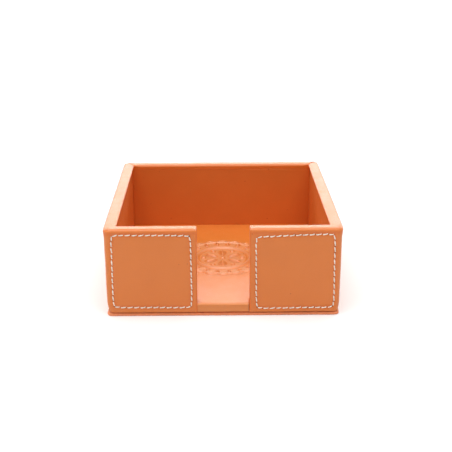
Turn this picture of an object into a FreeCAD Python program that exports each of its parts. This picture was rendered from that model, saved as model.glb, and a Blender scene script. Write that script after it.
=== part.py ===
import FreeCAD, Part
import os
import re

import Sketcher

# A tray for loose note sheets: grey-board walls on a board base, covered outside in one kind of hide and
# lined inside with it, with a finger gap in the front, stitched front panels and a suede pad underneath.
# X runs to the right, Y to the back and Z up. The origin is the middle of the pad's underside.
# Everything above the pad is modelled on the plane of the pad's top and lifted by the pad's thickness.

SHEET = "Sizes"
PARTS = "parts"
LEFT = "-1"
RIGHT = "1"
TOUCH = 1e-4
FOOT = 0.0
FULL_TURN = 360
SQUARE_SIDES = 4

# Driving dimensions in millimetres, degrees or counts.
DRIVING = {
    "note_size": ("90", "side of the square note sheets"),
    "note_play": ("1.5", "room round the sheets on each side"),
    "note_depth": ("34.4", "depth of the well, floor to rim"),
    "board_thick": ("2.9", "wall boards"),
    "base_thick": ("3.0", "base board"),
    "cover_thick": ("1.3", "outer hide"),
    "lining_thick": ("1.3", "wall lining hide"),
    "floor_thick": ("1.2", "floor lining hide"),
    "lap_thick": ("0.6", "outer hide where it is skived and turned in under the lining"),
    "lap_drop": ("10.0", "reach of the turned-in lap, from the rim or the gap edge"),
    "lining_drop": ("2.5", "lining edge below the rim"),
    "lining_inset": ("2.5", "lining edge back from the gap edge"),
    "lining_play": ("0.4", "room between two linings where they meet in a corner"),
    "gap_width": ("23.0", "finger gap in the front"),
    "rim_radius": ("1.5", "folded hide round rims, corners, gap edges and the lip"),
    "foot_radius": ("0.8", "folded hide round the foot"),
    "turn_thick": ("0.6", "hide skived and turned under the base board"),
    "turn_width": ("8.0", "reach of the hide turned under the base board"),
    "pad_thick": ("1.8", "suede pad"),
    "pad_inset": ("0.5", "edge of the pad in from the walls"),
    "stitch_count": ("12", "stitches along each side of a stitched square"),
    "stitch_inset": ("2.4", "stitch line in from the nearest edges of the panel"),
    "stitch_slant": ("12", "slant of each stitch off its line"),
    "stitch_break": ("0.4", "leather seen between the ends of two stitches"),
    "thread_width": ("0.6", "thread across"),
    "groove_width": ("1.6", "stitching groove across"),
    "groove_depth": ("0.35", "stitching groove below the face"),
}

# Worked out from the driving dimensions. Levels count from the plane of the pad's top.
DERIVED = {
    "wall_thick": ("cover_thick + board_thick + lining_thick", "whole wall"),
    "well_half": ("note_size / 2 + note_play", "centre to a lining's face"),
    "outer_half": ("well_half + wall_thick", "centre to the outer face"),
    "board_out": ("outer_half - cover_thick", "centre to a board's outer face"),
    "board_in": ("well_half + lining_thick", "centre to a board's inner face"),
    "lap_in": ("board_in - lap_thick", "centre to the face of the turned-in lap"),
    "turn_in": ("board_out - turn_width", "centre to the edge of the turn-under"),
    "gap_half": ("gap_width / 2", "centre to a gap edge"),
    "base_low": ("turn_thick", "underside of the base board"),
    "base_top": ("base_low + base_thick", "top of the base board"),
    "floor_top": ("base_top + floor_thick", "top of the floor lining"),
    "rim_top": ("floor_top + note_depth", "rim"),
    "board_top": ("rim_top - cover_thick", "top of the wall boards"),
    "lining_top": ("rim_top - lining_drop", "top edge of the wall linings"),
    "lap_foot": ("rim_top - lap_drop", "lower edge of the turned-in lap"),
    "panel_width": ("outer_half - gap_half", "front panel, corner to gap"),
    "stitch_side": ("min(panel_width; rim_top) - 2 * stitch_inset", "side of the stitched square"),
    "stitch_pitch": ("stitch_side / stitch_count", "hole to hole"),
    "panel_mid": ("(outer_half + gap_half) / 2", "centre of the tray to the middle of a panel"),
}


def formula(text):
    """The text with each size's name made a reference to its cell."""
    return re.sub(r"\b[a-z][a-z_]+\b(?!\()", lambda word: f"{SHEET}.{word.group()}", text)


def make_sheet(doc):
    sheet = doc.addObject("Spreadsheet::Sheet", SHEET)
    row = 1
    for table, prefix in ((DRIVING, ""), (DERIVED, "=")):
        for name, (content, note) in table.items():
            sheet.set(f"A{row}", name)
            sheet.set(f"B{row}", prefix + content)
            sheet.set(f"C{row}", note)
            sheet.setAlias(f"B{row}", name)
            row += 1
    doc.recompute()
    return sheet


doc = FreeCAD.newDocument("memo_pad_holder")
sheet = make_sheet(doc)
pieces = []


def bind(feature, prop, text):
    feature.setExpression(prop, formula(text))


def value(text):
    return float(sheet.evalExpression(formula(text)))


def new_body(name, place=("0", "0", "pad_thick")):
    """A body of its own for one piece, set down at the place."""
    body = doc.addObject("PartDesign::Body", name)
    body.Label = name
    for axis, text in zip("xyz", place):
        bind(body, f"Placement.Base.{axis}", text)
    pieces.append(body)
    return body


def origin_feature(body, role):
    return next(item for item in body.Origin.OriginFeatures if item.Role == role)


def add_outline(sketch, points):
    """A closed outline of straight lines, each corner held by its two distances from the axes."""
    corners = [(value(across), value(up)) for across, up in points]
    first = sketch.GeometryCount
    count = len(points)
    for index, (across, up) in enumerate(corners):
        next_across, next_up = corners[(index + 1) % count]
        start = FreeCAD.Vector(across, up, 0)
        end = FreeCAD.Vector(next_across, next_up, 0)
        sketch.addGeometry(Part.LineSegment(start, end), False)
    for index in range(count):
        following = first + (index + 1) % count
        sketch.addConstraint(Sketcher.Constraint("Coincident", first + index, 2, following, 1))
    for index, (across, up) in enumerate(points):
        for kind, text in (("DistanceX", across), ("DistanceY", up)):
            distance = Sketcher.Constraint(kind, -1, 1, first + index, 1, value(text))
            number = sketch.addConstraint(distance)
            bind(sketch, f"Constraints[{number}]", text)


def new_sketch(body, name, role, level, *outlines):
    """A sketch on one of the body's own planes, lifted to the level."""
    sketch = body.newObject("Sketcher::SketchObject", name)
    sketch.AttachmentSupport = [(origin_feature(body, role), "")]
    sketch.MapMode = "FlatFace"
    bind(sketch, "AttachmentOffset.Base.z", level)
    for points in outlines:
        add_outline(sketch, points)
    return sketch


def pad(body, name, sketch, length, both_ways=False):
    feature = body.newObject("PartDesign::Pad", name)
    feature.Profile = sketch
    bind(feature, "Length", length)
    if both_ways:
        feature.SideType = "Symmetric"
    sketch.Visibility = False
    doc.recompute()
    return feature


def pocket(body, name, sketch, depth, reverse=True):
    """A cut along the sketch's normal, or against it where reverse is off."""
    before = body.Shape.Volume
    feature = body.newObject("PartDesign::Pocket", name)
    feature.Profile = sketch
    bind(feature, "Length", depth)
    feature.Reversed = reverse
    sketch.Visibility = False
    doc.recompute()
    if not body.Shape.Volume < before:
        raise ValueError(f"{body.Label}: {name} cuts nothing")
    return feature


def fillet(body, name, radius, wanted):
    """Rounds the edges of the body's last feature that the test picks."""
    base = body.Tip
    edges = [f"Edge{number}" for number, edge in enumerate(base.Shape.Edges, 1) if wanted(edge.BoundBox)]
    feature = body.newObject("PartDesign::Fillet", name)
    feature.Base = (base, edges)
    bind(feature, "Radius", radius)
    doc.recompute()
    return feature


def block(body, name, low, high, outline):
    """A pad of a plan outline between two levels."""
    sketch = new_sketch(body, f"{name}_plan", "XY_Plane", low, outline)
    return pad(body, name, sketch, f"{high} - ({low})")


def hollow(body, name, low, high, outline):
    """A pocket of a plan outline between two levels."""
    sketch = new_sketch(body, f"{name}_plan", "XY_Plane", low, outline)
    return pocket(body, name, sketch, f"{high} - ({low})")


def rectangle(left, front, right, back):
    return [(left, front), (right, front), (right, back), (left, back)]


def corner_wall(side, outside, inside, end):
    """Plan of a side wall and the front panel that turns from it: outer face, inner face, gap end."""
    return [
        (f"{side} * {outside}", f"-{outside}"),
        (f"{side} * {end}", f"-{outside}"),
        (f"{side} * {end}", f"-{inside}"),
        (f"{side} * {inside}", f"-{inside}"),
        (f"{side} * {inside}", outside),
        (f"{side} * {outside}", outside),
    ]


def is_upright(box):
    return box.ZLength > TOUCH and box.XLength < TOUCH and box.YLength < TOUCH


def is_level(box, height):
    return box.ZLength < TOUCH and abs(box.ZMin - height) < TOUCH


def round_hide(body, keep_upright):
    """The folded hide's roundings: upright edges and the rim together, then the foot."""
    top = value("rim_top")
    fillet(body, "rim_fold", "rim_radius",
           lambda box: is_level(box, top) or (is_upright(box) and keep_upright(box)))
    reach = value("outer_half - rim_radius / 2")
    fillet(body, "foot_fold", "foot_radius",
           lambda box: is_level(box, FOOT) and max(abs(box.Center.x), abs(box.Center.y)) > reach)


def board(name, plan_size, height, place):
    """A plain rectangular board on its own middle."""
    body = new_body(name, place)
    across, along = (f"{text} / 2" for text in plan_size)
    outline = rectangle(f"-({across})", f"-({along})", across, along)
    block(body, "sheet", "0", height, outline)
    return body


def wall_boards():
    """The base board carries the walls; the side boards run front to back, the others butt between them."""
    mid = "(board_out + board_in) / 2"
    foot = "pad_thick + base_top"
    height = "board_top - base_top"
    board("base_board", ("2 * board_out", "2 * board_out"), "base_thick", ("0", "0", "pad_thick + base_low"))
    board("back_board", ("2 * board_in", "board_thick"), height, ("0", mid, foot))
    for side, hand in ((LEFT, "left"), (RIGHT, "right")):
        board(f"{hand}_side_board", ("board_thick", "2 * board_out"), height, (f"{side} * {mid}", "0", foot))
        length = "(board_in - gap_half - cover_thick)"
        centre = f"{side} * (board_in + gap_half + cover_thick) / 2"
        board(f"front_{hand}_board", (length, "board_thick"), height, (centre, f"-{mid}", foot))


def stitching_groove(body, side):
    """A square channel in the front face of a panel, for the stitches to lie in."""
    outlines = []
    for half in ("(stitch_side + groove_width) / 2", "(stitch_side - groove_width) / 2"):
        middle = f"{side} * panel_mid"
        outlines.append(rectangle(f"{middle} - {half}", f"rim_top / 2 - {half}",
                                  f"{middle} + {half}", f"rim_top / 2 + {half}"))
    sketch = new_sketch(body, "groove_square", "XZ_Plane", "outer_half", *outlines)
    pocket(body, "groove", sketch, "groove_depth", reverse=False)


def side_cover(name, side):
    """One hide from the back corner along the side, round the front corner and over the front panel.

    It folds over the rim and round the gap end, laps inside under the linings and turns under the base."""
    body = new_body(name)
    block(body, "walls", "0", "rim_top", corner_wall(side, "outer_half", "well_half", "gap_half"))
    well = value("well_half")
    round_hide(body, lambda box: abs(abs(box.Center.x) - well) > TOUCH)
    block(body, "turn_under", "0", "turn_thick", corner_wall(side, "board_out", "turn_in", "gap_half"))
    slot = corner_wall(side, "board_out", "board_in", "(gap_half + cover_thick)")
    hollow(body, "board_slot", "base_low", "board_top", slot)
    low = rectangle(f"{side} * board_in", "-board_in", f"{side} * (gap_half + lap_drop)", "outer_half")
    hollow(body, "lining_bed", "base_low", "lap_foot", low)
    high = rectangle(f"{side} * lap_in", "-lap_in", f"{side} * (gap_half + lining_inset)", "outer_half")
    hollow(body, "lap_bed", "base_low", "lining_top", high)
    base = rectangle(f"{side} * board_out", "-board_out", f"{side} * gap_half", "outer_half")
    hollow(body, "base_bed", "base_low", "base_top", base)
    floor = rectangle(f"{side} * board_in", "-board_in", f"{side} * gap_half", "outer_half")
    hollow(body, "floor_bed", "base_top", "floor_top", floor)
    mitre = [(f"{side} * outer_half", "outer_half"), (f"{side} * turn_in", "turn_in"),
             (f"{side} * turn_in", "outer_half")]
    hollow(body, "mitre", "0", "rim_top", mitre)
    stitching_groove(body, side)
    return body


def back_cover():
    """The hide over the back wall, mitred to the side covers at both corners."""
    body = new_body("back_cover")
    block(body, "wall", "0", "rim_top", rectangle("-outer_half", "well_half", "outer_half", "outer_half"))
    well = value("well_half")
    round_hide(body, lambda box: box.YMax > well + TOUCH)
    block(body, "turn_under", "0", "turn_thick", rectangle("-board_out", "turn_in", "board_out", "board_out"))
    hollow(body, "board_slot", "base_low", "board_top",
           rectangle("-board_out", "board_in", "board_out", "board_out"))
    for name, low, high, depth in (("lining_bed", "base_low", "lap_foot", "board_in"),
                                   ("lap_bed", "base_low", "lining_top", "lap_in"),
                                   ("base_bed", "base_low", "base_top", "board_out")):
        hollow(body, name, low, high, rectangle("-outer_half", "turn_in", "outer_half", depth))
    for side, hand in ((LEFT, "left"), (RIGHT, "right")):
        mitre = [(f"{side} * outer_half", "outer_half"), (f"{side} * outer_half", "turn_in"),
                 (f"{side} * turn_in", "turn_in")]
        hollow(body, f"{hand}_mitre", "0", "rim_top", mitre)
    return body


def floor_lining():
    """The floor hide, with a tongue that folds over the lip in the finger gap and turns under the base."""
    body = new_body("floor_lining")
    tongue = [
        ("-board_in", "floor_top"),
        ("-outer_half", "floor_top"),
        ("-outer_half", "0"),
        ("-turn_in", "0"),
        ("-turn_in", "turn_thick"),
        ("-board_out", "base_low"),
        ("-board_out", "base_top"),
        ("-board_in", "base_top"),
    ]
    pad(body, "tongue", new_sketch(body, "tongue_profile", "YZ_Plane", "0", tongue), "gap_width", True)
    face = value("-outer_half")
    top = value("floor_top")
    fillet(body, "lip_fold", "rim_radius", lambda box: is_level(box, top) and box.YMax < face + TOUCH)
    fillet(body, "foot_fold", "foot_radius", lambda box: is_level(box, FOOT) and box.YMax < face + TOUCH)
    block(body, "floor", "base_top", "floor_top", rectangle("-board_in", "-board_in", "board_in", "board_in"))
    return body


def lining_profile(side):
    """Section of a wall lining: full thickness on the board, skived where it covers the lap."""
    return [
        (f"{side} * well_half", "floor_top"),
        (f"{side} * board_in", "floor_top"),
        (f"{side} * board_in", "lap_foot"),
        (f"{side} * lap_in", "lap_foot"),
        (f"{side} * lap_in", "lining_top"),
        (f"{side} * well_half", "lining_top"),
    ]


def wall_linings():
    """The side linings run into the corners, and the back and front linings butt between them."""
    back = new_body("back_lining")
    profile = new_sketch(back, "section", "YZ_Plane", "0", lining_profile(RIGHT))
    pad(back, "hide", profile, "2 * (well_half - lining_play)", True)
    for side, hand in ((LEFT, "left"), (RIGHT, "right")):
        body = new_body(f"{hand}_lining")
        profile = new_sketch(body, "section", "XZ_Plane", "0", lining_profile(side))
        pad(body, "hide", profile, "2 * lap_in", True)
        front = new_body(f"front_{hand}_lining")
        start = f"{side} * (well_half - lining_play)"
        block(front, "hide", "floor_top", "lining_top",
              rectangle(start, "-lap_in", f"{side} * (gap_half + lining_inset)", "-well_half"))
        block(front, "full_thickness", "floor_top", "lap_foot",
              rectangle(start, "-board_in", f"{side} * (gap_half + lap_drop)", "-lap_in"))


def base_pieces():
    """Card that fills the field between the turned-under hides, and the suede pad under it all."""
    infill = new_body("base_infill")
    block(infill, "card", "0", "turn_thick", rectangle("-turn_in", "-turn_in", "turn_in", "turn_in"))
    suede = new_body("base_pad", ("0", "0", "0"))
    edge = "(outer_half - pad_inset)"
    block(suede, "suede", "0", "pad_thick", rectangle(f"-{edge}", f"-{edge}", edge, edge))
    fillet(suede, "corners", "rim_radius", is_upright)


def stitching(name, side):
    """Slanted stitches in a square, patterned from one along the top line and then a quarter turn at a time."""
    sink = "(thread_width / 2 - groove_depth)"
    body = new_body(name, (f"{side} * panel_mid", f"-outer_half - {sink}", "pad_thick + rim_top / 2"))
    body.AllowCompound = True
    section = new_sketch(body, "thread_section", "YZ_Plane", "(stitch_pitch - stitch_side) / 2")
    bind(section, "AttachmentOffset.Base.y", "stitch_side / 2")
    section.AttachmentOffset.Rotation = FreeCAD.Rotation(FreeCAD.Vector(-1, 0, 0), value("stitch_slant"))
    bind(section, "AttachmentOffset.Rotation.Angle", "stitch_slant")
    circle = Part.Circle(FreeCAD.Vector(0, 0, 0), FreeCAD.Vector(0, 0, 1), value("thread_width / 2"))
    section.addGeometry(circle, False)
    section.addConstraint(Sketcher.Constraint("Coincident", 0, 3, -1, 1))
    number = section.addConstraint(Sketcher.Constraint("Diameter", 0, value("thread_width")))
    bind(section, f"Constraints[{number}]", "thread_width")
    seed = pad(body, "stitch", section, "stitch_pitch - stitch_break", True)

    row = doc.addObject("PartDesign::LinearPattern", f"{name}_row")
    row.Direction = (origin_feature(body, "X_Axis"), [""])
    bind(row, "Length", "stitch_side - stitch_pitch")
    bind(row, "Occurrences", "stitch_count")
    turn = doc.addObject("PartDesign::PolarPattern", f"{name}_turn")
    turn.Axis = (origin_feature(body, "Y_Axis"), [""])
    turn.Angle = FULL_TURN
    turn.Occurrences = SQUARE_SIDES
    square = body.newObject("PartDesign::MultiTransform", f"{name}_square")
    square.Originals = [seed]
    square.Transformations = [row, turn]
    body.Tip = square
    doc.recompute()
    return body


def check_pieces():
    """Stops before anything is written if an object failed or a piece has no sound solid."""
    for item in doc.Objects:
        if "Invalid" in item.State or "Error" in item.State:
            raise ValueError(f"{item.Name} is {item.State}")
    for body in pieces:
        if body.Shape.isNull() or not body.Shape.isValid() or not body.Shape.Solids:
            raise ValueError(f"{body.Label} has no sound shape")


def write_pieces():
    os.makedirs(PARTS, exist_ok=True)
    for body in pieces:
        body.Shape.exportStep(os.path.join(PARTS, f"{body.Label}.step"))


wall_boards()
side_cover("left_cover", LEFT)
side_cover("right_cover", RIGHT)
back_cover()
floor_lining()
wall_linings()
base_pieces()
stitching("front_left_stitching", LEFT)
stitching("front_right_stitching", RIGHT)
doc.recompute()
check_pieces()
write_pieces()
for body in pieces:
    box = body.Shape.BoundBox
    print(f"{body.Label}: {box.XLength:.2f} x {box.YLength:.2f} x {box.ZLength:.2f} mm, "
          f"z {box.ZMin:.2f} to {box.ZMax:.2f}, {len(body.Shape.Solids)} solid(s), {body.Shape.Volume:.1f} mm3")
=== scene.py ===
from math import atan2, copysign, cos, pi, radians, sin, sqrt

import bmesh
import bpy
import numpy as np
from mathutils import Matrix, Vector


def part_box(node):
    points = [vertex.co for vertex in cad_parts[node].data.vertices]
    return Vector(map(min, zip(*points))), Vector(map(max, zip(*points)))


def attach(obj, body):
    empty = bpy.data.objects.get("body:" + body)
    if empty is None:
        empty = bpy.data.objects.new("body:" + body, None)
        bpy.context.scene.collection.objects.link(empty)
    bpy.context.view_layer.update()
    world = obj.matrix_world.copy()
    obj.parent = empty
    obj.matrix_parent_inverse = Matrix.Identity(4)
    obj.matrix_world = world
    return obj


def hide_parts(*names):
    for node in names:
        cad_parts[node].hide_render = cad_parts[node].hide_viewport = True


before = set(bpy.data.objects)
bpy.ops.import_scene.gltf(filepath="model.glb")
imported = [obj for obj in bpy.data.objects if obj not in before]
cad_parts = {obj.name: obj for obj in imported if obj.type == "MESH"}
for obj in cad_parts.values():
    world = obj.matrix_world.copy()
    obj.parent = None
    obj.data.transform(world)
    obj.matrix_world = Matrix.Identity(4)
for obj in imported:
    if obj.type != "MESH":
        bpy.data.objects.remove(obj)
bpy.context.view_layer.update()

# A leather tray dressed over its imported solids. X runs to the right, Y to the back and Z up, in metres.
# A hide's tone tints its colour: 0 is plain, 0.5 the middle tint and 1 the deepest. On the covers it is
# painted shade. The floor is 0.5 nearly all over as its own colour; its paler stamped field is a painted
# reflection.

MM = 0.001
TOUCH = 0.01 * MM  # slack when places are compared
FAR = 9.0  # beyond any distance on the object


# ----- sizes read from the frame

COVER_LOW, COVER_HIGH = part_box("left_cover")
LINING_LOW, LINING_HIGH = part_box("back_lining")
FLOOR_LOW, FLOOR_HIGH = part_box("floor_lining")
PAD_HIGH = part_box("base_pad")[1]

OUTER = -COVER_LOW.x
WELL = LINING_LOW.y
GAP = -COVER_HIGH.x
FOOT = COVER_LOW.z
RIM = COVER_HIGH.z
FLOOR = FLOOR_HIGH.z
LINING_TOP = LINING_HIGH.z
LINING_END = -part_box("front_left_lining")[1].x
WALL = OUTER - WELL


# ----- sizes shared by the hides

CORNER_RADIUS = 2.6 * MM  # front corners in plan
MITRE_RADIUS = 1.2 * MM  # back corners in plan
END_RADIUS = 0.4 * MM  # gap ends in plan
INNER_RADIUS = 0.3 * MM  # front corners inside
RIM_REACH = 1.25 * MM  # the rim's roll, across the wall
RIM_DROP = 1.15 * MM  # the same, down the wall
SHOULDER = RIM - RIM_DROP  # where the roll begins
FOOT_RADIUS = 0.6 * MM
FOOT_SAG = 0.40 * MM  # the covers' feet below the CAD's
BODY_STEP = 0.40 * MM  # the walls' faces back from the roll above
FRONT_STEP = 0.14 * MM  # the same on the front panels
LINING_STEP = 0.85 * MM  # the same on the side and front linings
BACK_STEP = 0.15 * MM  # the same on the back lining
LAP_STEP = 1.20 * MM  # the same on the lap behind the linings
MID_TONE = 0.5  # the middle tone: the floor's own colour, and painted shade on the covers


def smooth(low, high, x):
    """0 below low, 1 above high, and an even turn between them."""
    part = np.clip((x - low) / (high - low), 0.0, 1.0)
    return part * part * (3.0 - 2.0 * part)


def bell(x, width):
    """1 at 0, falling away on both sides within about width."""
    return np.exp(-(x / width) ** 2)


WAVES = 9
WAVE_SPREAD = (0.7, 1.6)


def wander(points, wavelength, seed):
    """A smooth field of about -1 to 1 over the points, the same on every run."""
    chance = np.random.default_rng(seed)
    total = np.zeros(points.shape[:-1])
    for _ in range(WAVES):
        way = chance.normal(size=3)
        way /= np.linalg.norm(way)
        length = wavelength * chance.uniform(*WAVE_SPREAD)
        total += np.sin(points @ way * (2 * pi / length) + chance.uniform(0, 2 * pi))
    return total / sqrt(WAVES)


def waves(points, layers, seed):
    """The waves of a hide, each layer of which is a height and a length."""
    return sum(height * wander(points, length, seed + n) for n, (height, length) in enumerate(layers))


def spread(*stops):
    """Places from stop to stop, as place, step, place, step ... place."""
    places = [stops[0]]
    for start, step, end in zip(stops[0::2], stops[1::2], stops[2::2]):
        count = max(1, int(round(abs(end - start) / step)))
        places.extend(start + (end - start) * n / count for n in range(1, count + 1))
    return np.array(places)


# ----- meshes

SHARP = radians(55)
WELD = 2e-6
FINE_WELD = 1e-9  # for small parts, whose corners lie close together


def new_object(name, data):
    obj = bpy.data.objects.new(name, data)
    bpy.context.scene.collection.objects.link(obj)
    return obj


def make_object(name, verts, faces, material, stands_for=(), weld=WELD, tones=None):
    """One piece of the object, welded and smooth, with its finish and its body; the nodes it stands for are
    hidden.
    tones gives each corner's tone."""
    mesh = bpy.data.meshes.new(name)
    mesh.from_pydata(np.asarray(verts).tolist(), [], faces)
    if tones is not None:
        values = np.asarray(tones, np.float32).ravel()
        mesh.attributes.new("tone", "FLOAT", "POINT").data.foreach_set("value", values)
    work = bmesh.new()
    work.from_mesh(mesh)
    bmesh.ops.remove_doubles(work, verts=work.verts, dist=weld)
    bmesh.ops.dissolve_degenerate(work, edges=work.edges, dist=weld)
    bmesh.ops.recalc_face_normals(work, faces=work.faces)
    work.to_mesh(mesh)
    work.free()
    mesh.shade_smooth()
    mesh.set_sharp_from_angle(angle=SHARP)
    mesh.materials.append(material)
    obj = new_object(name, mesh)
    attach(obj, "root")
    if stands_for:
        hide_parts(*stands_for)


def grid_faces(rows, columns, keep=None):
    """Faces between neighbouring rows and columns. keep, if given, says which cells are covered."""
    faces = []
    for row in range(rows - 1):
        for column in range(columns - 1):
            if keep is None or keep[row, column]:
                a = row * columns + column
                faces.append((a, a + 1, a + columns + 1, a + columns))
    return faces


def tube_faces(first, rings, parts, mouth=False):
    """Faces between closed rings of as many points each, counted from the point numbered first, and over both
    ends. A mouth leaves the first end open."""
    faces = []
    for ring in range(rings - 1):
        start = first + ring * parts
        for part in range(parts):
            a, b = start + part, start + (part + 1) % parts
            faces.append((a, b, b + parts, a + parts))
    ends = (rings - 1,) if mouth else (0, rings - 1)
    return faces + [tuple(range(first + end * parts, first + (end + 1) * parts)) for end in ends]


ARC_POINTS = 7


class Wall:
    """The plan of a leather wall as a path with the wall on its left, which can be stepped into the wall.

    A corner is (x, y, radius, side). Side is 1 where the path turns round the wall's outside and -1 where it
    turns in the wall's inside corner. At the path's two ends, side says which way the mitre leans. Shares
    place the points along each straight run."""

    def __init__(self, corners, shares):
        self.corners = corners
        self.shares = shares
        points = [np.array(corner[:2]) for corner in corners]
        self.ways = [(b - a) / np.linalg.norm(b - a) for a, b in zip(points, points[1:])]
        self.lefts = [np.array((-way[1], way[0])) for way in self.ways]

    def tip(self, index, depth):
        """The sharp corner once the path has been stepped in by depth."""
        point = np.array(self.corners[index][:2])
        if index in (0, len(self.corners) - 1):
            run = 0 if index == 0 else -1
            return point + depth * (self.lefts[run] + self.corners[index][3] * self.ways[run])
        return point + depth * (self.lefts[index - 1] + self.lefts[index])

    def bend(self, index, depth):
        """The corner's radius there, which closes up towards the middle of the wall."""
        radius, side = self.corners[index][2:]
        if index in (0, len(self.corners) - 1) or side > 0:
            return max(radius - depth, 0.0)
        return radius * max(1 - 2 * depth / WALL, 0.0)

    def ring(self, depth):
        """Points of the path stepped in by depth and their outward ways, as many at every depth."""
        points, outs = [], []
        last = len(self.corners) - 1
        for index, corner in enumerate(self.corners):
            radius, turn = corner[2:]
            tip, bend = self.tip(index, depth), self.bend(index, depth)
            run = max(index - 1, 0)
            way, left = self.ways[run], self.lefts[run]
            if radius == 0:
                points.append(tip)
                outs.append(-left)
            else:
                first, final = 0.0, pi / 2
                centre = tip - way * bend + turn * left * bend
                if index == 0:
                    first, final, turn = -pi / 4, 0.0, 1
                    centre = tip + way * bend + left * bend
                elif index == last:
                    final, turn = pi / 4, 1
                    centre = tip - way * bend + left * bend
                for angle in np.linspace(first, final, ARC_POINTS):
                    out = -left * cos(angle) + turn * way * sin(angle)
                    outs.append(out)
                    points.append(centre + turn * bend * out)
            if index < last:
                way, left = self.ways[index], self.lefts[index]
                begin = points[-1]
                reach = self.bend(index + 1, depth) if self.corners[index + 1][2] else 0.0
                end = self.tip(index + 1, depth) - way * reach
                for share in self.shares[index]:
                    points.append(begin + (end - begin) * share)
                    outs.append(-left)
        return np.array(points), np.array(outs)


FOOT_ROWS, ROLL_ROWS, CROWN_ROWS = 6, 9, 5
LOW_FACE, HIGH_FACE = 5.2 * MM, 36.8 * MM
LOW_ROW, FACE_ROW, HIGH_ROW = 0.25 * MM, 0.36 * MM, 0.22 * MM  # gaps below, between and above the two


def wall_profile():
    """Rows from the foot's turn-in up the face and over the rim: step in, height, tilt of the surface."""
    half = pi / 2
    rows = [(WALL / 2, FOOT, -half), (WALL / 4, FOOT, -half)]
    foot = FOOT - FOOT_SAG
    for tilt in np.linspace(-half, 0, FOOT_ROWS):
        rows.append((FOOT_RADIUS * (1 - cos(tilt)), foot + FOOT_RADIUS * (1 + sin(tilt)), tilt))
    heights = spread(foot + FOOT_RADIUS, LOW_ROW, LOW_FACE, FACE_ROW, HIGH_FACE, HIGH_ROW, SHOULDER)
    rows.extend((0.0, z, 0.0) for z in heights[1:-1])
    for turn in np.linspace(0, half, ROLL_ROWS):
        tilt = atan2(RIM_REACH * sin(turn), RIM_DROP * cos(turn))
        rows.append((RIM_REACH * (1 - cos(turn)), SHOULDER + RIM_DROP * sin(turn), tilt))
    rows.extend((depth, RIM, half) for depth in np.linspace(RIM_REACH, WALL / 2, CROWN_ROWS)[1:])
    return rows


def wall_surface(wall):
    """The wall's undressed grid of points and its normals."""
    grid, normals = [], []
    for depth, height, tilt in wall_profile():
        points, outs = wall.ring(depth)
        grid.append(np.column_stack([points, np.full(len(points), height)]))
        normals.append(np.column_stack([outs * cos(tilt), np.full(len(outs), sin(tilt))]))
    return np.array(grid), np.array(normals)


# ----- stitching

# Each panel's sewn square as marked out, in mm: corners (x, z) clockwise from the top left.
SEWN = {
    "left": [(-48.35, 38.55), (-14.15, 38.25), (-13.95, 4.15), (-48.6, 4.4)],
    "right": [(14.1, 37.45), (48.2, 38.65), (48.9, 3.85), (14.6, 3.6)],
}
STITCHES = 12
HOLE_SEEDS = {"left": 11, "right": 12}
HOLE_WANDER = 0.05 * MM
CORNER_TUCK = 0.42 * MM  # the corner holes in from the square's corners
GROOVE_DEPTH = 0.14 * MM
GROOVE_HALF = 0.70 * MM
HOLE_DEPTH = 0.16 * MM
HOLE_HALF = 0.42 * MM
PUFF = 0.06 * MM  # the hide's swelling on each side of the seam
PUFF_AT = 1.6 * MM
PUFF_HALF = 0.7 * MM


def stitch_holes(hand):
    """Hole centres (x, z) clockwise round a panel's square."""
    corners = [np.array(corner) * MM for corner in SEWN[hand]]
    middle = sum(corners) / 4
    chance = np.random.default_rng(HOLE_SEEDS[hand])
    holes = []
    for a, b in zip(corners, corners[1:] + corners[:1]):
        for step in range(STITCHES):
            point = a + (b - a) * (step / STITCHES) + chance.normal(0, HOLE_WANDER, 2)
            if step == 0:
                point = point + np.sign(middle - a) * CORNER_TUCK
            holes.append(point)
    return holes


def seam_distance(x, z, holes):
    """Distance of each point to the closed line through the holes."""
    best = np.full(x.shape, FAR)
    for a, b in zip(holes, holes[1:] + holes[:1]):
        way = b - a
        share = np.clip(((x - a[0]) * way[0] + (z - a[1]) * way[1]) / (way @ way), 0, 1)
        best = np.minimum(best, np.hypot(x - a[0] - way[0] * share, z - a[1] - way[1] * share))
    return best


def sewn_relief(x, z, holes):
    """How far the front leather stands out where the thread pulls it in."""
    seam = seam_distance(x, z, holes)
    hole = np.min([np.hypot(x - a[0], z - a[1]) for a in holes], axis=0)
    groove = -GROOVE_DEPTH * bell(seam, GROOVE_HALF) - HOLE_DEPTH * bell(hole, HOLE_HALF)
    return groove + PUFF * bell(seam - PUFF_AT, PUFF_HALF)


THREAD_SEEDS = {"left": 21, "right": 22}
THREAD_STEPS, THREAD_SIDES = 15, 8
THREAD_RADIUS = 0.19 * MM  # of one ply
THREAD_ENDS = 0.80  # the ply's width in the holes, to its full width
PLY_TURN = 3.2 * MM  # length of one twist
PLY_ASIDE, PLY_OUT = 0.55, 0.40  # how far a ply swings round the thread's middle, in radii
STITCH_BREAK = 0.24 * MM  # the stitch's ends back from the holes
THREAD_LIFT = 0.10 * MM  # the thread's middle out from the panel
LIFT_RANGE = 0.03 * MM
THREAD_DIP = 0.60 * MM  # the thread's ends in from its middle
DIP_POWER = 0.30  # a lower power dips more steeply
LEVEL_LEAN = 0.17 * MM  # slant of the stitches along the top and bottom
UPRIGHT_LEAN = 0.13 * MM  # slant of the stitches up the sides
LEAN_RANGE = (0.75, 1.25)


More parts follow.
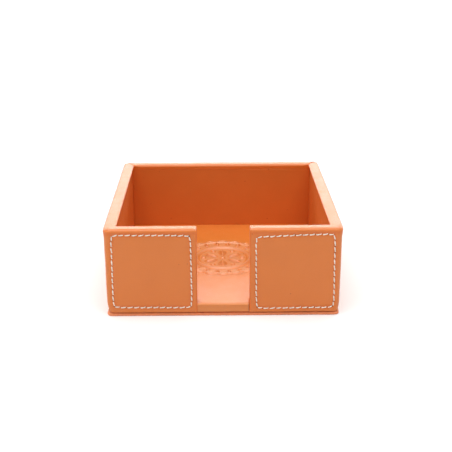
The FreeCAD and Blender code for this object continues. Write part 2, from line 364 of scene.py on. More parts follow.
def sewing(hand, holes):
    """The waxed two-ply thread, one stitch from each hole to the next, dipping into both."""
    verts, faces = [], []
    chance = np.random.default_rng(THREAD_SEEDS[hand])
    middle = sum(holes) / len(holes)
    forward = np.array((0, -1.0, 0))
    for a, b in zip(holes, holes[1:] + holes[:1]):
        way = (b - a) / np.linalg.norm(b - a)
        aside = np.array((way[1], -way[0]))
        across = np.array((aside[0], 0.0, aside[1]))
        inward = aside if (middle - a) @ aside > 0 else -aside
        slant = UPRIGHT_LEAN if abs(way[1]) > abs(way[0]) else LEVEL_LEAN
        lean = slant * chance.uniform(*LEAN_RANGE)
        start = a + inward * lean + way * STITCH_BREAK
        stop = b - inward * lean - way * STITCH_BREAK
        length = np.linalg.norm(stop - start)
        phase = chance.uniform(0, 2 * pi)
        lift = chance.uniform(-LIFT_RANGE, LIFT_RANGE)
        for ply in range(2):
            first = len(verts)
            for step in range(THREAD_STEPS + 1):
                share = step / THREAD_STEPS
                rise = sin(pi * share) ** DIP_POWER
                twist = phase + ply * pi + length * share / PLY_TURN * 2 * pi
                out = THREAD_LIFT - THREAD_DIP + (THREAD_DIP + lift) * rise
                out += THREAD_RADIUS * PLY_OUT * sin(twist)
                swing = aside * THREAD_RADIUS * PLY_ASIDE * cos(twist)
                x, z = start + (stop - start) * share + swing
                centre = np.array((x, FRONT_STEP - OUTER - out, z))
                swell = THREAD_RADIUS * (THREAD_ENDS + (1 - THREAD_ENDS) * rise)
                for part in range(THREAD_SIDES):
                    angle = 2 * pi * part / THREAD_SIDES
                    verts.append(centre + swell * (across * cos(angle) + forward * sin(angle)))
            faces.extend(tube_faces(first, THREAD_STEPS + 1, THREAD_SIDES))
    make_object(f"front_{hand}_thread", verts, faces, THREAD_LOOK, (f"front_{hand}_stitching",),
                weld=FINE_WELD)


SLIT_LONG, SLIT_SHORT = 0.31 * MM, 0.20 * MM  # half its length and half its width
SLIT_INWARD, SLIT_BACK = 0.85, 0.5  # its slant to the seam
SLIT_PARTS = 14
SLIT_RINGS = ((1.0, 0.0), (0.75, 0.07 * MM), (0.4, 0.14 * MM))  # share of its size, depth
SLIT_PROUD = 0.075 * MM  # its edge out from the sunk leather


def awl_holes(hand, holes):
    """The slits that the awl left, between one stitch and the next: dark cups, their colour the cut edges'
    brown and painted shade in the holes.
    """
    verts, faces = [], []
    middle = sum(holes) / len(holes)
    for index, hole in enumerate(holes):
        way = holes[(index + 1) % len(holes)] - holes[index - 1]
        way = way / np.linalg.norm(way)
        aside = np.array((way[1], -way[0]))
        inward = aside if (middle - hole) @ aside > 0 else -aside
        long = inward * SLIT_INWARD - way * SLIT_BACK
        long = long / np.linalg.norm(long)
        short = np.array((long[1], -long[0]))
        first = len(verts)
        for share, sink in SLIT_RINGS:
            for part in range(SLIT_PARTS):
                angle = 2 * pi * part / SLIT_PARTS
                edge = long * SLIT_LONG * cos(angle) + short * SLIT_SHORT * sin(angle)
                x, z = hole + share * edge
                out = sewn_relief(np.array([x]), np.array([z]), holes)[0]
                verts.append((x, FRONT_STEP - OUTER - out - SLIT_PROUD + sink, z))
        faces.extend(tube_faces(first, len(SLIT_RINGS), SLIT_PARTS, mouth=True))
    make_object(f"front_{hand}_awl_holes", verts, faces, HOLE_SHADE_LOOK, weld=FINE_WELD)


# ----- materials


def node_material(name):
    """An empty material with a principled shader: the material, its nodes, its links and the shader."""
    material = bpy.data.materials.new(name)
    material.use_nodes = True
    nodes, links = material.node_tree.nodes, material.node_tree.links
    nodes.clear()
    out = nodes.new("ShaderNodeOutputMaterial")
    shader = nodes.new("ShaderNodeBsdfPrincipled")
    links.new(shader.outputs[0], out.inputs[0])
    return material, nodes, links, shader


def fill(node, values):
    """Sets the node's own numbers, by socket."""
    for socket, value in values.items():
        node.inputs[socket].default_value = value


def object_place(nodes):
    return nodes.new("ShaderNodeTexCoord").outputs["Object"]


def noise(nodes, links, place, size, detail=3.0, rough=0.55):
    """Noise whose features are about size across, in metres."""
    node = nodes.new("ShaderNodeTexNoise")
    fill(node, {"Scale": 1.0 / size, "Detail": detail, "Roughness": rough})
    links.new(place, node.inputs["Vector"])
    return node.outputs["Fac"]


def cells(nodes, links, place, size, feature="F1"):
    """The node of a cell pattern whose cells are about size across."""
    node = nodes.new("ShaderNodeTexVoronoi")
    node.feature = feature
    fill(node, {"Scale": 1.0 / size})
    links.new(place, node.inputs["Vector"])
    return node


def arithmetic(nodes, links, operation, a, b, clamp=False):
    """One step of arithmetic on a and b, which may be a plain number."""
    node = nodes.new("ShaderNodeMath")
    node.operation = operation
    node.use_clamp = clamp
    links.new(a, node.inputs[0])
    if isinstance(b, float):
        node.inputs[1].default_value = b
    else:
        links.new(b, node.inputs[1])
    return node.outputs[0]


def ramp(nodes, links, value, *stops):
    """The colour that the stops, each a place and a colour, give to the value."""
    node = nodes.new("ShaderNodeValToRGB")
    elements = node.color_ramp.elements
    while len(elements) < len(stops):
        elements.new(0.5)
    for element, (place, colour) in zip(elements, stops):
        element.position = place
        element.color = (*colour, 1.0)
    links.new(value, node.inputs["Fac"])
    return node.outputs["Color"]


def grey(value):
    return (value, value, value)


def times(nodes, links, a, b):
    """Colour a times colour b."""
    mix = nodes.new("ShaderNodeMix")
    mix.data_type = "RGBA"
    mix.blend_type = "MULTIPLY"
    fill(mix, {"Factor": 1.0})
    links.new(a, mix.inputs["A"])
    links.new(b, mix.inputs["B"])
    return mix.outputs["Result"]


def relief(nodes, links, height, depth, strength, onto=None):
    """The normal of a bumped surface, on top of another such normal if onto is given."""
    bump = nodes.new("ShaderNodeBump")
    fill(bump, {"Distance": depth, "Strength": strength})
    links.new(height, bump.inputs["Height"])
    if onto:
        links.new(onto, bump.inputs["Normal"])
    return bump.outputs["Normal"]


GRAIN = 0.42 * MM  # cells between the hide's fine creases
PORE_SIZE = GRAIN * 1.2
CLOUD_SIZE = 11 * MM  # patches of colour
SWELL_SIZE = 2.6 * MM  # soft unevenness under the grain
POLISH_SIZE = 4 * MM  # patches of polish
FLECK_SIZE = 4.5 * MM  # cells with a fleck or none
FLECK = (0.62, 0.46, 0.42)
SHADE_TINT = (1.0, 0.84, 0.58)  # tint at the middle tone: painted shade on the covers
DEEP_SHADE_TINT = (0.72, 0.50, 0.36)  # tint at the top tone: the deepest painted shade


def flecks(nodes, links, place, spared):
    """Small dark dots in the hide, one in some of the cells; spared is the share of cells without one."""
    pattern = cells(nodes, links, place, FLECK_SIZE)
    chance = nodes.new("ShaderNodeSeparateColor")
    links.new(pattern.outputs["Color"], chance.inputs[0])
    gate = arithmetic(nodes, links, "LESS_THAN", chance.outputs[0], spared)
    away = arithmetic(nodes, links, "ADD", pattern.outputs["Distance"], gate)
    return ramp(nodes, links, away, (0.025, FLECK), (0.085, grey(1.0)))


def leather(name, light, dark, rough, specular, depth, spared, sheen=0.0, mid_tint=SHADE_TINT):
    """Pigmented calf: cloudy colour, rare dark flecks, hair pores and fine creases, uneven polish."""
    material, nodes, links, shader = node_material(name)
    place = object_place(nodes)
    pores = cells(nodes, links, place, PORE_SIZE).outputs["Distance"]

    cloud = noise(nodes, links, place, CLOUD_SIZE, 4.0)
    tone_input = nodes.new("ShaderNodeAttribute")
    tone_input.attribute_name = "tone"
    colour = ramp(nodes, links, cloud, (0.25, dark), (0.75, light))
    # The tone's tint: painted shade on the covers; on the floor the middle tint is its own colour, the rest
    # painted shade and painted reflection.
    deepen = ramp(nodes, links, tone_input.outputs["Fac"], (0.0, grey(1.0)), (MID_TONE, mid_tint), (1.0, DEEP_SHADE_TINT))
    tint = ramp(nodes, links, pores, (0.03, grey(0.84)), (0.22, grey(1.0)))
    for layer in (deepen, flecks(nodes, links, place, spared), tint):
        colour = times(nodes, links, colour, layer)
    links.new(colour, shader.inputs["Base Color"])

    bend = nodes.new("ShaderNodeTexNoise")
    fill(bend, {"Scale": 1.0 / (GRAIN * 2)})
    links.new(place, bend.inputs["Vector"])
    warp = nodes.new("ShaderNodeVectorMath")
    warp.operation = "MULTIPLY_ADD"
    links.new(bend.outputs["Color"], warp.inputs[0])
    fill(warp, {1: (GRAIN, GRAIN, GRAIN)})
    links.new(place, warp.inputs[2])
    edges = cells(nodes, links, warp.outputs[0], GRAIN, "DISTANCE_TO_EDGE").outputs["Distance"]
    creases = ramp(nodes, links, edges, (0.0, grey(0.0)), (0.15, grey(1.0)))
    pits = ramp(nodes, links, pores, (0.05, grey(0.0)), (0.28, grey(1.0)))
    fine = relief(nodes, links, creases, depth, 0.35)
    fine = relief(nodes, links, pits, depth, 0.35, fine)
    swell = noise(nodes, links, place, SWELL_SIZE)
    links.new(relief(nodes, links, swell, depth * 2.2, 0.30, fine), shader.inputs["Normal"])

    wear = noise(nodes, links, place, POLISH_SIZE)
    polish = ramp(nodes, links, wear, (0.3, grey(rough - 0.04)), (0.7, grey(rough + 0.06)))
    links.new(polish, shader.inputs["Roughness"])
    fill(shader, {"Specular IOR Level": specular, "Sheen Weight": sheen, "Sheen Roughness": 0.25,
                  "Sheen Tint": (1.0, 0.90, 0.78, 1.0)})
    return material


def fibrous(name, light, dark, size, rough, depth, sheen=0.0):
    """Anything whose face is loose or pressed fibre."""
    material, nodes, links, shader = node_material(name)
    place = object_place(nodes)
    fibre = noise(nodes, links, place, size, 4.0, 0.65)
    patch = noise(nodes, links, place, size * 9, 2.0)
    colour = ramp(nodes, links, fibre, (0.3, dark), (0.7, light))
    shade = ramp(nodes, links, patch, (0.3, grey(0.86)), (0.7, grey(1.0)))
    polish = ramp(nodes, links, patch, (0.3, grey(rough - 0.05)), (0.7, grey(rough + 0.05)))
    links.new(times(nodes, links, colour, shade), shader.inputs["Base Color"])
    links.new(relief(nodes, links, fibre, depth, 0.6), shader.inputs["Normal"])
    links.new(polish, shader.inputs["Roughness"])
    fill(shader, {"Specular IOR Level": 0.3, "Sheen Weight": sheen, "Sheen Roughness": 0.4})
    return material


COVER_LOOK = leather(
    "cover_leather", (0.765, 0.200, 0.027), (0.740, 0.190, 0.025),
    rough=0.32, specular=0.60, depth=0.04 * MM, spared=0.45, sheen=0.14)
# The covers' calf in a darker colour, painted shade for the insides of the well; it is also rougher and has
# no sheen.
SHADED_LINING_LOOK = leather(
    "lining_leather", (0.675, 0.170, 0.027), (0.645, 0.159, 0.024),
    rough=0.50, specular=0.35, depth=0.04 * MM, spared=0.50)
FLOOR_LOOK = leather(
    "floor_leather", (0.765, 0.305, 0.115), (0.750, 0.293, 0.110),
    rough=0.35, specular=0.80, depth=0.036 * MM, spared=0.996, mid_tint=(1.0, 0.76, 0.33))
SUEDE_LOOK = fibrous(
    "base_suede", (1.0, 0.39, 0.18), (0.98, 0.27, 0.11),
    size=0.35 * MM, rough=0.92, depth=0.15 * MM, sheen=0.35)
THREAD_LOOK = fibrous(
    "waxed_thread", (1.0, 0.97, 0.84), (0.97, 0.90, 0.76),
    size=0.12 * MM, rough=0.55, depth=0.015 * MM)
# The holes' dark: the cut edges' own brown, and painted shade down in the holes.
HOLE_SHADE_LOOK = fibrous(
    "awl_hole_edge_and_shade", (0.17, 0.065, 0.026), (0.08, 0.030, 0.013),
    size=0.25 * MM, rough=0.85, depth=0.05 * MM)
BOARD_LOOK = fibrous(
    "fibre_board", (0.38, 0.26, 0.155), (0.25, 0.165, 0.095),
    size=0.5 * MM, rough=0.85, depth=0.06 * MM)
CARD_LOOK = fibrous(
    "grey_card", (0.62, 0.58, 0.50), (0.48, 0.44, 0.38),
    size=0.4 * MM, rough=0.85, depth=0.04 * MM)


# ----- covers

COVER_SEEDS = {"left": 3, "right": 8, "back": 5}
COVER_WAVES = ((0.07 * MM, 44 * MM), (0.025 * MM, 10 * MM))
STILL_FOOT = 3 * MM  # height in which the waves die out at the foot
CORNER_HALF = 3.5 * MM
CORNER_DENT = 0.15 * MM  # the rim's corners, worn in
STEP_FADE = 1.0 * MM  # height in which the face steps back below the roll
CORNER_FADE = 3.2 * MM  # as much more at a corner
CROWN, CROWN_HALF = 0.10 * MM, 0.3 * WALL  # the rim's middle, up from its sides
SEAM_DEPTH, SEAM_HALF = 0.40 * MM, 0.36 * MM  # the mitre seam
# painted shade along the mitre seam's groove
SEAM_SHADE = 0.9
OPEN_SEAM_SHADE = 1.6  # painted shade, deeper on the right mitre, which stands a little open
MITRE_BOW = 1.1 * MM  # the mitre's curve towards the back
MITRE_HALF = 2.5 * MM
ROLL_SHADE_AT = 0.65 * MM  # painted shade in the band below the roll's overhang
ROLL_SHADE_HALF = 0.85 * MM
SEWN_SHADE_HALF = 0.85 * MM  # painted shade in the band along the stitched groove
END_SHADE_HALF = 0.7 * MM  # painted shade in a band at the gap end
INNER_HALF = 3.0 * MM  # the inner part of the rim
INNER_TUCK = 0.55  # of the roll, by which the hide there is drawn up
SLACK = 3 * MM  # length in which the pull of a corner eases
CORNER_DROOP = 0.40 * MM  # the rim's front corners, worn down
DROOP_HALF = 2.6 * MM
RIM_LEAN = 0.0028  # the rim rises to the right
RIM_FALL = 0.0014  # and falls to the back
PINCH = {"left": 1.25 * MM, "right": 0.8 * MM}  # the front corners' feet, pulled in
PINCH_HALF = 4.5 * MM
PINCH_TOP, PINCH_FOOT = 5.0 * MM, 2.6 * MM
PINCH_BACK = 0.25


def dress_cover(grid, normals, hand, seed):
    """The plain wall made into a hand-made hide: the dressed grid and its tones, which are painted shade.
    hand is None at the back.
    """
    x, y, z = grid[..., 0], grid[..., 1], grid[..., 2]
    across = np.abs(x)
    reach = np.maximum(across, np.abs(y))
    inside = reach < WELL + TOUCH
    front = (y < -OUTER + 2 * TOUCH) & (normals[..., 1] < -0.99)
    frontal = np.clip(-normals[..., 1], 0, 1) ** 2 * (y < -WELL)
    corner = bell(np.hypot(across - OUTER, np.abs(y) - OUTER), CORNER_HALF)
    below = 1 - smooth(SHOULDER - STEP_FADE - CORNER_FADE * corner, SHOULDER + 0.15 * MM, z)
    held = smooth(GAP + 0.3 * MM, GAP + 1.4 * MM, across) if hand else 1.0
    mitre = np.abs(across - y) / sqrt(2) + FAR * (y < 0)
    inward = smooth(WELL + INNER_HALF, WELL + RIM_REACH, reach)
    holes = stitch_holes(hand) if hand else None

    # How far the hide stands out: its waves, the face below the roll, the mitre, the sewn line, the crown.
    out = waves(grid, COVER_WAVES, seed) * smooth(FOOT, FOOT + STILL_FOOT, z)
    body = BODY_STEP + (FRONT_STEP - BODY_STEP) * frontal
    out -= np.where(inside, 0.0, body) * below * held + CORNER_DENT * corner * (1 - below)
    out -= SEAM_DEPTH * bell(mitre, SEAM_HALF) * (1 - inward * (1 - normals[..., 2] ** 2))
    if hand:
        out += np.where(front, sewn_relief(x, z, holes), 0.0)
    crown = CROWN * bell(np.minimum(OUTER - reach, WALL) - WALL / 2, CROWN_HALF)
    out += np.where(normals[..., 2] > 0.99, crown, 0.0)
    dressed = grid + normals * out[..., None]

    # Tone as painted shade: below the roll, along the mitre, round the stitches and at the gap end.
    tone = MID_TONE * bell(z - (SHOULDER - ROLL_SHADE_AT), ROLL_SHADE_HALF) * ~inside
    seam = np.where(x > 0, OPEN_SEAM_SHADE, SEAM_SHADE) * bell(mitre, 1.4 * SEAM_HALF)
    tone = np.maximum(tone, seam * (1 - 0.7 * inward))
    if hand:
        seam = MID_TONE * bell(seam_distance(x, z, holes), SEWN_SHADE_HALF)
        tone = np.maximum(tone, np.where(front, seam, 0.0))
        tone = np.maximum(tone, MID_TONE * bell(across - GAP, END_SHADE_HALF) * (z < SHOULDER))

    # The inner face steps back to the linings, and its lap behind them.
    lap = 1 - smooth(LINING_TOP - 0.25 * MM, LINING_TOP + 0.02 * MM, z)
    if hand:
        lap = lap * np.maximum(smooth(LINING_END - 0.25 * MM, LINING_END, across), y > -WELL + TOUCH)
    for axis, place, step in ((0, x, LINING_STEP), (1, y, np.where(y > 0, BACK_STEP, LINING_STEP))):
        step = (step * below + (LAP_STEP - LINING_STEP) * lap) * held
        step = step * smooth(WELL - SLACK, WELL, np.abs(place))
        dressed[..., axis] += np.where(inside, np.sign(place) * step, 0.0)

    # The rim's inner part is drawn up, the rim leans as in the photograph, and the mitres bow.
    straight = RIM_DROP * np.clip((z - LINING_TOP) / (SHOULDER - LINING_TOP), 0, 1)
    tuck = INNER_TUCK * inward * (1 - smooth(WELL, WELL - SLACK, across) * (y > 0))
    dressed[..., 2] += tuck * np.where(z > SHOULDER, RIM - z, straight)
    droop = CORNER_DROOP * bell(np.hypot(across - OUTER, y + OUTER), DROOP_HALF)
    lean = RIM_LEAN * x - RIM_FALL * y - droop
    dressed[..., 2] += lean * smooth(RIM - 2.2 * MM, RIM - 0.8 * MM, z)
    bow = np.sin(pi * np.clip((across - WELL) / WALL, 0, 1)) * bell(mitre, MITRE_HALF)
    dressed[..., 1] += MITRE_BOW * bow * (1 - smooth(OUTER - 3 * MM, OUTER, y))
    return dressed, tone


def pinch_corner(grid, side, amount):
    """Pulls in the foot of a front corner, as wear does. side is -1 on the left."""
    x, y, z = grid[..., 0], grid[..., 1], grid[..., 2]
    low = smooth(FOOT + PINCH_TOP, FOOT - PINCH_FOOT, z)
    near = bell(x - side * OUTER, PINCH_HALF) * bell(y + OUTER, PINCH_HALF) * low * amount
    grid[..., 0] -= side * near
    grid[..., 1] += near * PINCH_BACK


def cover_object(node, grid, tones):
    """The dressed grid as a piece, closed across the wall from its outer end column to its inner one."""
    rows, columns, _ = grid.shape
    faces = grid_faces(rows, columns)
    faces += [(row * columns, (row + 1) * columns, (row + 2) * columns - 1, (row + 1) * columns - 1)
              for row in range(rows - 1)]
    make_object(f"{node}_hide", grid.reshape(-1, 3), faces, COVER_LOOK, (node,), tones=tones)


SIDE_RUN = 101 * MM  # nominal length of a side, for sharing out its points


def side_cover(hand):
    """The hide round one side: from the back mitre to the front corner, the sewn panel and the gap end."""
    side = 1 if hand == "right" else -1
    front_run = OUTER - GAP - CORNER_RADIUS - END_RADIUS
    front = spread(0, 0.25 * MM, 3.2 * MM, 0.8 * MM, front_run - 3.2 * MM, 0.25 * MM, front_run) / front_run
    flank = spread(0, 0.3 * MM, 1.2 * MM, 1.6 * MM, 98 * MM, 1.0 * MM, SIDE_RUN) / SIDE_RUN
    corners = [
        (-OUTER, OUTER, MITRE_RADIUS, 1), (-OUTER, -OUTER, CORNER_RADIUS, 1), (-GAP, -OUTER, END_RADIUS, 1),
        (-GAP, -WELL, END_RADIUS, 1), (-WELL, -WELL, INNER_RADIUS, -1), (-WELL, WELL, 0, 1),
    ]
    runs = (flank, front, np.linspace(0, 1, 9), 1 - front[::-1], 1 - flank[::-1])
    grid, normals = wall_surface(Wall(corners, [run[1:-1] for run in runs]))
    grid[..., 0] *= -side
    normals[..., 0] *= -side
    grid, tones = dress_cover(grid, normals, hand, COVER_SEEDS[hand])
    pinch_corner(grid, side, PINCH[hand])
    cover_object(f"{hand}_cover", grid, tones)


def back_cover():
    """The hide over the back wall, mitred into the side covers at both ends."""
    run = spread(0, 0.3 * MM, 1.2 * MM, 1.6 * MM, 99.8 * MM, 0.3 * MM, SIDE_RUN) / SIDE_RUN
    outer = Wall([(OUTER, OUTER, MITRE_RADIUS, 1), (-OUTER, OUTER, MITRE_RADIUS, -1)], [run[1:-1]])
    inner = Wall([(-WELL, WELL, 0, -1), (WELL, WELL, 0, 1)], [1 - run[1:-1][::-1]])
    dressed = [dress_cover(*wall_surface(wall), None, COVER_SEEDS["back"]) for wall in (outer, inner)]
    grid, tones = (np.concatenate(parts, axis=1) for parts in zip(*dressed))
    cover_object("back_cover", grid, tones)


# ----- wall linings

LININGS = (  # node, the way its face looks, seed
    ("back_lining", (0, -1, 0), 51), ("left_lining", (1, 0, 0), 52), ("right_lining", (-1, 0, 0), 53),
    ("front_left_lining", (0, 1, 0), 54), ("front_right_lining", (0, 1, 0), 55),
)
LINING_EDGE = 0.12 * MM  # radius of the cut edge
LINING_GRID = 1.0 * MM
LINING_WAVE, LINING_WAVE_LENGTH = 0.08 * MM, 26 * MM
GLUED_EDGE = 3 * MM  # width in which the waves die out at the edges
NEAR_CORNER = 2 * MM


def rolled(start, end, thick):
    """Places from start to end, and how far back the hide's cut side, rolled edge and face are there."""
    turns = np.linspace(0, pi / 2, 5)
    ins, backs = LINING_EDGE * (1 - np.cos(turns)), LINING_EDGE * (1 - np.sin(turns))
    inner = spread(start + LINING_EDGE, LINING_GRID, end - LINING_EDGE)[1:-1]
    places = np.concatenate([[start], start + ins, inner, end - ins[::-1], [end]])
    return places, np.concatenate([[thick], backs, np.zeros(len(inner)), backs[::-1], [thick]])


def from_ends(places):
    return np.minimum(places - places[0], places[-1] - places)


def lining(node, facing, seed):
    """A skived lining in its node's box, let back under the rim and run on into the corners."""
    low, high = (np.array(corner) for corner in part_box(node))
    axis = int(np.argmax(np.abs(facing)))
    sign = facing[axis]
    inset = BACK_STEP if low[1] > 0 else LINING_STEP
    if sign > 0:
        high[axis] -= inset
    else:
        low[axis] += inset
    if axis == 0:
        low[1] -= LINING_STEP
        high[1] += BACK_STEP
    else:
        for end in (low, high):
            if abs(end[0]) >= WELL - NEAR_CORNER:
                end[0] = copysign(WELL + LINING_STEP, end[0])
    u, v = [a for a in range(3) if a != axis]
    thick = high[axis] - low[axis]
    across, across_back = rolled(low[u], high[u], thick)
    upward, upward_back = rolled(low[v], high[v], thick)
    grid = np.zeros((len(upward), len(across), 3))
    grid[..., u], grid[..., v] = across, upward[:, None]
    face = high[axis] if sign > 0 else low[axis]
    grid[..., axis] = face - sign * np.maximum(across_back, upward_back[:, None])
    loose = smooth(0, GLUED_EDGE, np.minimum(from_ends(across), from_ends(upward)[:, None]))
    wave = 0.5 + 0.5 * wander(grid, LINING_WAVE_LENGTH, seed)
    grid[..., axis] -= sign * LINING_WAVE * loose * wave
    rows, columns, _ = grid.shape
    points = np.arange(rows * columns).reshape(rows, columns)
    border = np.concatenate([points[0], points[1:, -1], points[-1, -2::-1], points[-2:0:-1, 0]])
    faces = grid_faces(rows, columns) + [tuple(border.tolist())]
    make_object(f"{node}_hide", grid.reshape(-1, 3), faces, SHADED_LINING_LOOK, (node,))


# ----- floor hide and its blind emboss

EMBOSS_AT = (0.3 * MM, 0.7 * MM)
MEDAL = 22.0 * MM  # radius of the whole ornament
SCALLOPS = 20
SCALLOPS_IN = 1.6 * MM  # the scallops' centres in from the medal's edge
SCALLOP = 1.9 * MM
SCALLOP_STRETCH = 0.62
LEAVES_AT = 17.7 * MM
LEAF = (2.2 * MM, 1.6 * MM)  # half its length, half its width, as for the motifs below
LEAF_VEIN = 0.35 * MM
RING, RING_HALF = 13.2 * MM, 0.75 * MM
PETALS = 6
PETALS_AT = 6.5 * MM
PETAL = (4.2 * MM, 2.5 * MM)
PETAL_FLARE = 0.3  # wider at the outer end
PETAL_VEIN = 0.45 * MM
BEADS_AT = 9.6 * MM
BEAD = (1.7 * MM, 1.5 * MM)
BOSS = 1.7 * MM
LINE_HALF = 0.55 * MM  # the sunken lines
PRESSED = 0.26 * MM  # depth of the lines
RAISED = 0.72 * MM  # height of the motifs
DISHED = 0.55 * MM  # depth of the field's middle
LINE_SHADE = 0.20  # painted shade: tone added in the sunken lines
FIELD_REFLECTION = 0.44  # painted reflection: tone taken off in the field, which makes it paler


def dome(u, v):
    """A round-topped boss of height 1 over the unit circle."""
    return smooth(1.0, 0.35, np.hypot(u, v))


def about(x, y, count, radius, shift=0.0):
    """Each point's place out from and along the nearest of count spots spaced round a circle."""
    turn = 2 * pi / count
    spot = (np.round(np.arctan2(y, x) / turn - shift) + shift) * turn
    return x * np.cos(spot) + y * np.sin(spot) - radius, y * np.cos(spot) - x * np.sin(spot)


def emboss(x, y):
    """The stamped ornament, a rosette in a ring inside a band of leaves with a scalloped edge: the hide's
    height and its tone: a painted reflection makes the field pale, and painted shade darkens the sunken
    lines."""
    x, y = x - EMBOSS_AT[0], y - EMBOSS_AT[1]
    radius = np.hypot(x, y)

    out, along = about(x, y, SCALLOPS, MEDAL - SCALLOPS_IN)
    edge = np.hypot(out, along * SCALLOP_STRETCH) - SCALLOP
    edge = np.where(out < 0, np.minimum(edge, radius - MEDAL + 1.0 * MM), edge)
    field = smooth(0.3 * MM, -0.3 * MM, edge)

    out, along = about(x, y, SCALLOPS, LEAVES_AT, 0.5)
    leaves = dome(out / LEAF[0], along / LEAF[1])
    veins = leaves * bell(along, LEAF_VEIN)
    out, along = about(x, y, PETALS, PETALS_AT, 0.5)
    petals = dome(out / PETAL[0], along / (PETAL[1] * (1.0 + PETAL_FLARE * out / PETAL[0])))
    veins += petals * bell(along, PETAL_VEIN)
    out, along = about(x, y, PETALS, BEADS_AT)
    beads = dome(out / BEAD[0], along / BEAD[1])
    boss = dome(x / BOSS, y / BOSS)

    raised = beads + boss + 0.6 * (leaves + petals) + 0.5 * veins
    raised = raised + bell(radius - RING, RING_HALF) + 0.8 * bell(edge + 1.1 * MM, LINE_HALF)
    lines = sum(4 * motif * (1 - motif) for motif in (leaves, petals, beads, boss)) + leaves + petals - veins
    lines += bell(np.abs(radius - RING) - 1.35 * MM, LINE_HALF) + bell(edge, LINE_HALF)
    raised, lines = np.clip(raised, 0, 1.2), np.clip(lines, 0, 1.2)
    height = RAISED * raised - PRESSED * lines - DISHED * field * (1 - (radius / MEDAL) ** 2)
    return height, MID_TONE - FIELD_REFLECTION * field * np.clip(1 - lines, 0, 1) + LINE_SHADE * lines


LIP_REACH = 1.0 * MM  # the roll over the lip, along the floor
LIP_DROP = 1.10 * MM  # the same, down the front
LIP_EDGE = FLOOR - LIP_DROP
LIP_STEP = 0.14 * MM  # the lip's face back from the roll
LIP_DIP = 0.40 * MM  # the floor's front edge below its level
DIP_FROM = -22 * MM  # where the floor begins to dip towards it
LIP_BEAD = 0.10 * MM  # the roll's full edge
LIP_LINE = 0.06 * MM  # the line pressed below it
LIP_HALF = 0.30 * MM  # of both
TONGUE = GAP + 0.12 * MM  # half the width of the tongue over the lip
TONGUE_TUCK = {"left": 0.12 * MM, "right": 0.45 * MM}  # its side edges, turned in
TONGUE_SHADE = 1.2  # painted shade along its open right edge
TONGUE_HALF = 0.45 * MM
FLOOR_RISE = 0.22 * MM  # the floor's back edge above its middle
FLOOR_WAVES, FLOOR_SEED = ((0.03 * MM, 30 * MM), (0.005 * MM, 7 * MM)), 31
DENT_AT = (0.5 * MM - GAP, -49.5 * MM)  # a crease at the lip's left end
DENT_SIZE = (0.8 * MM, 1.8 * MM)
# the dent's depth, and the painted shade in it
DENT_DEPTH, DENT_SHADE = 0.30 * MM, 0.25
LIP_ROWS = 10


def floor_rows(fine):
    """Rows from the floor's back edge over the lip and under the foot: place, height and tilt of the hide.
    Also the number of rows before the tongue begins."""
    front, middle, tall = FLOOR_LOW.y, EMBOSS_AT[1], MEDAL + 1.8 * MM
    mouth = -WELL - 0.5 * MM
    places = spread(FLOOR_HIGH.x, 1.2 * MM, middle + tall, fine, middle - tall, 0.9 * MM, mouth)
    rows = [(y, FLOOR, 0.0) for y in places]
    rows.extend((y, FLOOR, 0.0) for y in spread(mouth, 0.4 * MM, front + LIP_REACH)[1:-1])
    for turn in np.linspace(0, pi / 2, LIP_ROWS):
        tilt = atan2(LIP_DROP * sin(turn), LIP_REACH * cos(turn))
        rows.append((front + LIP_REACH * (1 - sin(turn)), FLOOR - LIP_DROP * (1 - cos(turn)), tilt))
    rows.extend((front, z, pi / 2) for z in spread(LIP_EDGE, 0.25 * MM, FOOT + FOOT_RADIUS)[1:-1])
    for tilt in np.linspace(pi / 2, pi, FOOT_ROWS):
        depth = FOOT_RADIUS * (1 - sin(tilt))
        rows.append((front + depth, FOOT + FOOT_RADIUS * (1 + cos(tilt)), tilt))
    rows.extend((front + depth, FOOT, pi) for depth in (2.5 * MM, 5 * MM))
    return rows, len(places)


